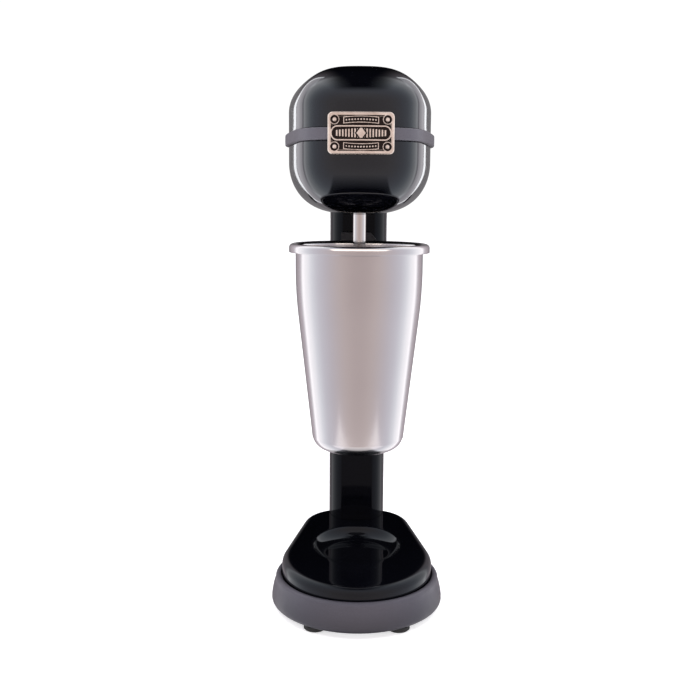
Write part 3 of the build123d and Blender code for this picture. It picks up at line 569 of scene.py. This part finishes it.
def build_plate():
    nx, nz = 286, 178
    gx = np.linspace(-PW / 2, PW / 2, nx)
    gz = np.linspace(-PH / 2, PH / 2, nz)
    X, Z = np.meshgrid(gx, gz)
    cx, cz = PW / 2 - PR, PH / 2 - PR
    ax, az = np.abs(X) - cx, np.abs(Z) - cz
    m = (ax > 0) & (az > 0)
    k = np.where(m, np.maximum(ax, az) / np.maximum(np.hypot(ax, az), 1e-9), 1.0)
    X2 = np.where(m, np.sign(X) * (cx + ax * k), X)
    Z2 = np.where(m, np.sign(Z) * (cz + az * k), Z)
    e = rrect(X2, Z2, PW, PH, PR)
    h = plate_relief(X2, Z2)
    H = 0.05 + 0.95 * h - 0.55 * smoothstep(-0.7, 0.0, e)
    R = PRAD + H
    A = np.arcsin(X2 / PRAD)
    front_pts = np.stack([R * np.sin(A), PCY + SY - R * np.cos(A), HM + Z2], -1)
    Rb = np.full_like(R, 101.7)
    back_pts = np.stack([Rb * np.sin(A), PCY + SY - Rb * np.cos(A), HM + Z2], -1)
    step = 6
    ix = list(range(0, nx - 1, step)) + [nx - 1]
    iz = list(range(0, nz - 1, step)) + [nz - 1]
    verts = front_pts.reshape(-1, 3).tolist()
    rel = list((0.15 + 0.85 * h * (1 - 0.25 * smoothstep(-0.5, 0.0, e))).reshape(-1))
    faces = []
    for j in range(nz - 1):
        for i in range(nx - 1):
            a = j * nx + i
            faces.append((a, a + 1, a + nx + 1, a + nx))
    # back rim follows the front rim
    rim = [i for i in range(nx)] + [j * nx + nx - 1 for j in range(1, nz)] \
        + [(nz - 1) * nx + i for i in range(nx - 2, -1, -1)] + [j * nx for j in range(nz - 2, 0, -1)]
    base = len(verts)
    bflat = back_pts.reshape(-1, 3)
    for q in rim:
        verts.append(bflat[q].tolist())
        rel.append(0.45)
    nr = len(rim)
    for t in range(nr):
        u = (t + 1) % nr
        faces.append((rim[t], base + t, base + u, rim[u]))
    # back face: upright strips from the bottom edge to the top, and a sliver at each side
    r0 = nx + nz - 2

    def over(i):
        return r0 + (nx - 1 - i)
    for i in range(nx - 1):
        faces.append((base + i, base + i + 1, base + over(i + 1), base + over(i)))
    faces.append(tuple(base + q for q in range(nx - 1, r0 + 1)))
    faces.append(tuple(base + q for q in range(over(0), nr)) + (base,))
    me = bpy.data.meshes.new("nameplate_visual")
    me.from_pydata([tuple(c * MM for c in v) for v in verts], [], faces)
    me.update()
    attr = me.attributes.new("relief", "FLOAT", "POINT")
    attr.data.foreach_set("value", np.array(rel, np.float32))
    ob = bpy.data.objects.new("nameplate_visual", me)
    scene.collection.objects.link(ob)
    bm = bmesh.new()
    bm.from_mesh(me)
    bmesh.ops.dissolve_degenerate(bm, edges=bm.edges, dist=1e-7)
    bmesh.ops.recalc_face_normals(bm, faces=bm.faces)
    bm.to_mesh(me)
    bm.free()
    sharp_by_angle(ob, 60)
    return ob


plate = build_plate()
finish_with(plate, "antique_nickel")
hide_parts("nameplate")
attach(plate, "root")


def revolve(name, profile, cx=0.0, cy=SY, n=160, close=False):
    rings = []
    for r, z in profile:
        rings.append([(cx + r * math.cos(2 * math.pi * i / n), cy + r * math.sin(2 * math.pi * i / n), z) for i in range(n)])
    return rings_mesh(name, rings, close_loop=close)


# rivets: domed heads on round shanks, set square to the plate
rv, rf, rrel = [], [], []
for rx in (-18.9, 18.9):
    for rz in (-9.5, 9.5):
        a = math.asin(rx / PRAD)
        n_dir = Vector((math.sin(a), -math.cos(a), 0))
        t_dir = Vector((math.cos(a), math.sin(a), 0))
        up = Vector((0, 0, 1))
        org = Vector((PRAD * math.sin(a), PCY + SY - PRAD * math.cos(a), HM + rz))
        prof = [(0.0, 1.22), (0.4, 1.20), (0.8, 1.10), (1.15, 0.90), (1.42, 0.62), (1.6, 0.30), (1.66, 0.0),
                (1.66, -0.5), (1.2, -0.5), (1.2, -5.5), (0.0, -5.5)]
        start = len(rv)
        ns = 28
        for r, h in prof:
            for i in range(ns):
                b = 2 * math.pi * i / ns
                p = org + n_dir * h + t_dir * (r * math.cos(b)) + up * (r * math.sin(b))
                rv.append(tuple(p))
                rrel.append(0.95 if h > 0.35 else 0.4)
        for k in range(len(prof) - 1):
            for i in range(ns):
                j = (i + 1) % ns
                rf.append((start + k * ns + i, start + k * ns + j, start + (k + 1) * ns + j, start + (k + 1) * ns + i))
rivets = new_object("rivets_visual", rv, rf)
at = rivets.data.attributes.new("relief", "FLOAT", "POINT")
at.data.foreach_set("value", np.array(rrel, np.float32))
clean(rivets)
sharp_by_angle(rivets, 50)
finish_with(rivets, "antique_nickel")
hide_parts("nameplate_rivets")
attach(rivets, "root")

# ---------------------------------------------------------------------------
# cup: spun sheet with a rolled rim
# ---------------------------------------------------------------------------
def arc(cx, cz, r, a0, a1, n):
    return [(cx + r * math.cos(math.radians(a0 + (a1 - a0) * i / n)),
             cz + r * math.sin(math.radians(a0 + (a1 - a0) * i / n))) for i in range(n + 1)]


def bend(points, n=6, rad=8.0):
    """Round the inner corners of an open polyline."""
    out = [points[0]]
    for i in range(1, len(points) - 1):
        p, q, s = (np.array(points[k], float) for k in (i - 1, i, i + 1))
        u, v = (p - q), (s - q)
        lu, lv = np.linalg.norm(u), np.linalg.norm(v)
        d = min(rad, lu * 0.45, lv * 0.45)
        a, b = q + u / lu * d, q + v / lv * d
        for t in np.linspace(0, 1, n + 1):
            out.append(tuple((1 - t) ** 2 * a + 2 * t * (1 - t) * q + t * t * b))
    out.append(points[-1])
    return out


outer_wall = bend([(36.93, 143.6), (49.3, 252.5), (50.3, 272), (50.3, 296.6)], 8, 14)
inner_wall = bend([(49.3, 296.6), (49.3, 272), (48.3, 252.5), (35.93, 144.2)], 8, 14)


def densify(pts, gap=6.0):
    out = [pts[0]]
    for a, b in zip(pts, pts[1:]):
        k = max(1, int(math.dist(a, b) / gap))
        out += [(a[0] + (b[0] - a[0]) * i / k, a[1] + (b[1] - a[1]) * i / k) for i in range(1, k + 1)]
    return out


cup_profile = [(0.0, 134.9), (14.0, 134.9), (22.0, 134.7), (23.6, 134.15), (24.6, 134.0)]
cup_profile += [(x, z) for x, z in arc(25.0, 145.9, 11.9, -88, -8, 14)]
cup_profile = [p for p in cup_profile if p[0] < 36.9]
cup_profile += densify(outer_wall)[0:]
cup_profile += arc(52.4, 296.6, 2.1, 180, 0, 12)[1:]
cup_profile += [(54.5, 294.6), (54.52, 293.2), (54.7, 293.02), (55.3, 293.02), (55.48, 293.2), (55.5, 294.6)]
cup_profile += arc(52.4, 296.6, 3.1, 0, 180, 18)
cup_profile += densify(inner_wall)[1:]
cup_profile += [(x, z) for x, z in arc(25.0, 146.1, 10.9, -10, -90, 12)][1:]
cup_profile += [(22.0, 135.25), (12.0, 135.5), (0.0, 135.5)]
cup = revolve("mixing_cup_visual", cup_profile, n=192)
sharp_by_angle(cup, 50)
finish_with(cup, "cup_steel")
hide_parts("mixing_cup")
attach(cup, "cup")

# ---------------------------------------------------------------------------
# base: cover with its dish, and the skirt
# ---------------------------------------------------------------------------
NB = 256
DY = 20.7                       # every ring is sampled round the dish centre


def egg_radius(theta, r1, r2, cx, cy, off):
    """Distance from the dish centre to the hull of a big and two small circles."""
    R, r = r1 + off, r2 + off
    hull = [(0, 0, R), (cx, cy, r), (-cx, cy, r)]
    ds = np.linspace(0, 2 * np.pi, 1440, endpoint=False)
    sup = np.max([c[0] * np.cos(ds) + c[1] * np.sin(ds) + c[2] for c in hull], axis=0)
    sup = sup - DY * np.sin(ds)                     # support about the dish centre
    out = []
    for t in theta:
        c = np.cos(ds - t)
        ok = c > 1e-3
        out.append(np.min(sup[ok] / c[ok]))
    return np.array(out)


theta = np.linspace(0, 2 * np.pi, NB, endpoint=False)
COVER = (62.0, 34.0, 14.0, 67.0)
SKIRT = (71.0, 40.5, 14.5, 66.5)
_cache = {}


def egg(kind, off):
    key = (kind, round(off, 4))
    if key not in _cache:
        _cache[key] = egg_radius(theta, *kind, off)
    return _cache[key]


def polar_ring(r, z):
    x = r * np.cos(theta)
    y = DY + r * np.sin(theta) + SY
    z = np.full(NB, z) if np.isscalar(z) else z
    return np.column_stack([x, y, z])


RISE = 11.0 / (67.0 + 34.0 + 62.0)


def top_z(r):
    y = DY + r * np.sin(theta)
    return 37.5 + (y + 62.0) * RISE


DR, DF, DZ = 37.9, 12.0, 35.6


def dish_z(r):
    r = np.asarray(r, float)
    q = np.clip(r - (DR - DF), 0, DF)
    return DZ + DF - np.sqrt(np.maximum(DF ** 2 - q ** 2, 0))


# where the sloping top meets the dish wall
lo, hi = np.full(NB, DR - DF), np.full(NB, DR)
for _ in range(40):
    mid = (lo + hi) / 2
    over = dish_z(mid) > top_z(mid)
    hi = np.where(over, mid, hi)
    lo = np.where(over, lo, mid)
rim_r = (lo + hi) / 2

cover_rings = []
FR = 6.0
cover_rings.append(polar_ring(egg(COVER, -2.6), 24.2))
cover_rings.append(polar_ring(egg(COVER, -0.5), 24.2))
cover_rings.append(polar_ring(egg(COVER, -0.12), 24.35))
cover_rings.append(polar_ring(egg(COVER, 0.0), 24.8))
edge_r = egg(COVER, -FR)
zt_edge = top_z(egg(COVER, 0.0))
for f in (0.33, 0.66):
    cover_rings.append(polar_ring(egg(COVER, 0.0), 24.8 + (zt_edge - FR - 24.8) * f))
for i in range(0, 13):
    a = math.radians(90 * i / 12)
    off = -FR * (1 - math.cos(a))
    rr = egg(COVER, off)
    cover_rings.append(polar_ring(rr, top_z(rr) - FR * (1 - math.sin(a))))
outer_flat = egg(COVER, -FR)
inner_flat = rim_r + 1.1
for f in (0.12, 0.3, 0.5, 0.7, 0.88, 1.0):
    rr = outer_flat + (inner_flat - outer_flat) * f
    cover_rings.append(polar_ring(rr, top_z(rr)))
for dr, dz in ((0.7, -0.03), (0.35, -0.12), (0.05, -0.30), (-0.3, -0.58)):
    rr = rim_r + dr
    cover_rings.append(polar_ring(rr, top_z(rr) + dz))
start_r = rim_r - 0.75
for f in np.linspace(0, 1, 14):
    rr = start_r + ((DR - DF) - start_r) * f
    zz = dish_z(rr)
    if f == 0:
        zz = np.minimum(zz, top_z(rr) - 0.9)
    cover_rings.append(polar_ring(rr, zz))
for rr in (20.0, 13.0, 6.0, 0.0):
    cover_rings.append(polar_ring(np.full(NB, rr), DZ))
# underside
for rr in (0.0, 20.0, 34.0):
    cover_rings.append(polar_ring(np.full(NB, rr), 32.6))
cover_rings.append(polar_ring(egg(COVER, -3.4), 32.6))
cover_rings.append(polar_ring(egg(COVER, -2.6), 31.8))
cover = rings_mesh("base_cover_visual", [r.tolist() for r in cover_rings], close_loop=True)
cut(cover, prism("c5", column_loop(0.3, 1.5), 10, 80))
sharp_by_angle(cover, 40)
finish_with(cover, "gloss_black_enamel", "enamel_base")
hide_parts("base_cover")
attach(cover, "root")

sk = []
sk.append(polar_ring(egg(COVER, -3.4), 7.3))
sk.append(polar_ring(egg(COVER, 0.45), 7.3))
sk.append(polar_ring(egg(COVER, 0.45), 4.3))
sk.append(polar_ring(egg(COVER, 0.7), 4.02))
sk.append(polar_ring(egg(SKIRT, -5.2), 4.0))
for i in range(0, 9):
    a = math.radians(-90 + 78 * i / 8)
    sk.append(polar_ring(egg(SKIRT, -4.7 + 4.25 * math.cos(a)), 8.35 + 4.35 * math.sin(a)))
for z, off in ((10.5, -0.62), (14.0, -1.15), (18.0, -2.0), (21.0, -2.85), (23.2, -3.65)):
    sk.append(polar_ring(egg(SKIRT, off), z))
for i in range(0, 9):
    a = math.radians(14 + 76 * i / 8)
    sk.append(polar_ring(egg(SKIRT, -7.2 + 3.55 * math.cos(a) - 0.0), 24.35 + 3.6 * math.sin(a) - 0.0))
sk.append(polar_ring(egg(COVER, 1.35), 27.95))
sk.append(polar_ring(egg(COVER, 1.0), 27.75))
sk.append(polar_ring(egg(COVER, 0.9), 27.3))
sk.append(polar_ring(egg(COVER, 0.9), 24.05))
sk.append(polar_ring(egg(COVER, -3.4), 24.05))
skirt = rings_mesh("base_skirt_visual", [r.tolist() for r in sk], close_loop=True)
gl = []
for yy in (90.0, 112.0):
    gl.append([(12 + 5.6 * math.cos(2 * math.pi * i / 40), yy + SY, 15 + 5.6 * math.sin(2 * math.pi * i / 40)) for i in range(40)])
gcut = rings_mesh("c6", gl, cap_start=True, cap_end=True, smooth=False)
cut(skirt, gcut)
sharp_by_angle(skirt, 40)
finish_with(skirt, "satin_grey", "satin_skirt")
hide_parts("base_skirt")
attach(skirt, "root")

# --- column -----------------------------------------------------------------
outer_loop = column_loop(0.0, 1.3)
inner_loop = column_loop(-2.5, 0.8)
zs = [24.0] + list(np.linspace(30, 345, 22)) + [352.0]
col_rings = [[(x, y + SY, z) for x, y in outer_loop] for z in zs]
col_rings += [[(x, y + SY, z) for x, y in inner_loop] for z in (352.0, 188.0, 24.0)]
column = rings_mesh("column_visual", col_rings, close_loop=True)
sharp_by_angle(column, 40)
finish_with(column, "gloss_black_enamel", "enamel_column")
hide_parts("column")
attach(column, "root")

# ---------------------------------------------------------------------------
# stage and light
# ---------------------------------------------------------------------------
fl = new_object("floor_stage", [(-12, -8, -0.0004), (12, -8, -0.0004), (12, 14, -0.0004), (-12, 14, -0.0004)], [(0, 1, 2, 3)], False, 1.0)
k = Mat("stage_white")
k.link(k.mixcol(k.remap(k.noise(3, 3), 0.3, 0.7, 0.0, 1.0), (0.90, 0.90, 0.90), (0.93, 0.93, 0.93)), k.b.inputs["Base Color"])
k.b.inputs["Roughness"].default_value = 0.9
k.b.inputs["Emission Color"].default_value = (1, 1, 1, 1)
k.b.inputs["Emission Strength"].default_value = 0.55
fl.data.materials.append(k.m)
fl.visible_glossy = False

world = bpy.data.worlds.new("studio")
scene.world = world
world.use_nodes = True
nt = world.node_tree
for n in list(nt.nodes):
    nt.nodes.remove(n)


def W(kind, **kw):
    n = nt.nodes.new(kind)
    for a, b in kw.items():
        setattr(n, a, b)
    return n


def wm(op, a, b=0.0):
    n = W("ShaderNodeMath", operation=op)
    for i, v in ((0, a), (1, b)):
        if isinstance(v, (int, float)):
            n.inputs[i].default_value = v
        else:
            nt.links.new(v, n.inputs[i])
    return n.outputs[0]


def ramp(src, stops):
    n = W("ShaderNodeValToRGB")
    cr = n.color_ramp
    while len(cr.elements) < len(stops):
        cr.elements.new(0.5)
    for e, (p, c) in zip(cr.elements, stops):
        e.position = p
    for e, (p, c) in zip(cr.elements, stops):
        e.position = p
        e.color = (c[0], c[1], c[2], 1) if isinstance(c, tuple) else (c, c, c, 1)
    nt.links.new(src, n.inputs[0])
    return n.outputs[0]


def ease(src, a, b):
    n = W("ShaderNodeMapRange", interpolation_type="SMOOTHSTEP")
    n.inputs["From Min"].default_value = a
    n.inputs["From Max"].default_value = b
    nt.links.new(src, n.inputs["Value"])
    return n.outputs["Result"]


tc = W("ShaderNodeTexCoord")
sep = W("ShaderNodeSeparateXYZ")
nt.links.new(tc.outputs["Generated"], sep.inputs[0])
x, y, z = sep.outputs
u = wm("MULTIPLY", wm("ADD", y, 1.0), 0.5)            # 0 camera side, 1 behind
ax = wm("ABSOLUTE", x)


def at_deg(phi):
    """Ramp place of an angle measured from the camera side."""
    return (1 - math.cos(math.radians(phi))) / 2


azim = ramp(u, [
    (0.0, (0.60, 0.51, 0.505)), (at_deg(33), (0.70, 0.61, 0.60)), (at_deg(62), (0.735, 0.70, 0.76)),
    (at_deg(80), (0.82, 0.82, 0.90)), (at_deg(95), (1.02, 1.05, 1.13)), (at_deg(106), (1.30, 1.32, 1.38)),
    (at_deg(116), (1.43, 1.43, 1.48)), (at_deg(123), (1.70, 1.70, 1.75)), (at_deg(131), (0.72, 0.68, 0.74)),
    (at_deg(141), (0.58, 0.52, 0.56)), (at_deg(155), (0.41, 0.37, 0.40)), (at_deg(163), (0.25, 0.24, 0.25)), (1.0, (0.25, 0.24, 0.25))])
above = wm("MULTIPLY", wm("MULTIPLY", ease(z, 0.12, 0.30), ease(ax, 0.42, 0.06)), ease(y, -0.55, -0.04))
keep_up = wm("SUBTRACT", 1.0, above)
fall = ramp(wm("MULTIPLY", wm("ADD", z, 1.0), 0.5), [(0.0, 0.0), (0.025, 0.0), (0.06, 0.2), (0.225, 1.0), (1.0, 1.0)])
keep_down = wm("SUBTRACT", 1.0, wm("MULTIPLY", ease(ax, 0.48, 0.42), wm("SUBTRACT", 1.0, fall)))
mul = W("ShaderNodeMix", data_type="RGBA", blend_type="MULTIPLY")
mul.inputs[0].default_value = 1.0
nt.links.new(azim, mul.inputs[6])
nt.links.new(wm("MULTIPLY", keep_up, keep_down), mul.inputs[7])
bg1 = W("ShaderNodeBackground")
nt.links.new(mul.outputs[2], bg1.inputs[0])
bg2 = W("ShaderNodeBackground")
bg2.inputs[0].default_value = (1, 1, 1, 1)
bg2.inputs[1].default_value = 1.05
lp = W("ShaderNodeLightPath")
ms = W("ShaderNodeMixShader")
nt.links.new(lp.outputs["Is Camera Ray"], ms.inputs[0])
nt.links.new(bg1.outputs[0], ms.inputs[1])
nt.links.new(bg2.outputs[0], ms.inputs[2])
out = W("ShaderNodeOutputWorld")
nt.links.new(ms.outputs[0], out.inputs[0])


def area(name, loc, target, size, power, glossy=False):
    L = bpy.data.lights.new(name, "AREA")
    L.shape = "RECTANGLE"
    L.size, L.size_y = size
    L.energy = power
    o = bpy.data.objects.new(name, L)
    scene.collection.objects.link(o)
    o.location = loc
    d = Vector(target) - Vector(loc)
    o.rotation_euler = d.to_track_quat("-Z", "Y").to_euler()
    o.visible_glossy = glossy
    o.visible_camera = False
    return o


area("overhead", (0.0, -0.2, 2.2), (0, 0, 0.1), (3.0, 3.0), 38)
area("front_fill", (0.0, -2.2, 0.9), (0, 0, 0.25), (2.0, 1.2), 12)

def linked_cards(group, objects, cards):
    """Reflection cards that only the named objects see."""
    col = bpy.data.collections.new(group)
    for ob in objects:
        col.objects.link(ob)
    for name, loc, target, size, power, colour in cards:
        card = area(name, loc, target, size, power, True)
        card.data.color = colour
        card.light_linking.receiver_collection = col


linked_cards("cup_only", [cup], [
    ("cup_floor_card", (0.0, -0.19, 0.012), (0.0, -0.19, 1.0), (0.5, 0.18), 0.14, (1.0, 0.98, 0.97)),
    ("cup_rim_card", (0.0, -1.2, 0.95), (0.0, -0.07, 0.297), (2.6, 1.0), 13.0, (1.0, 0.92, 0.80)),
])


def beside(name, phi, width, height, radiance, colour, side, dist=2.5):
    """Upright card at an angle phi round from the camera side."""
    a = math.radians(phi)
    loc = (side * dist * math.sin(a), -dist * math.cos(a), 0.38)
    w = 2 * dist * math.sin(math.radians(width / 2))
    return (name, loc, (0, 0, 0.38), (w, height), radiance * math.pi * w * height, colour)


head_cards = []
for sd, tag in ((1, "right"), (-1, "left")):
    head_cards.append(beside("head_flank_" + tag, 145, 24, 5.0, 0.60, (0.95, 0.96, 1.0), sd))
    head_cards.append(beside("head_line_" + tag, 159.2, 3.4, 5.0, 1.75, (0.95, 0.97, 1.0), sd))
linked_cards("head_only", [upper, lower], head_cards)

scene.view_settings.view_transform = "Standard"
scene.view_settings.look = "None"

import json
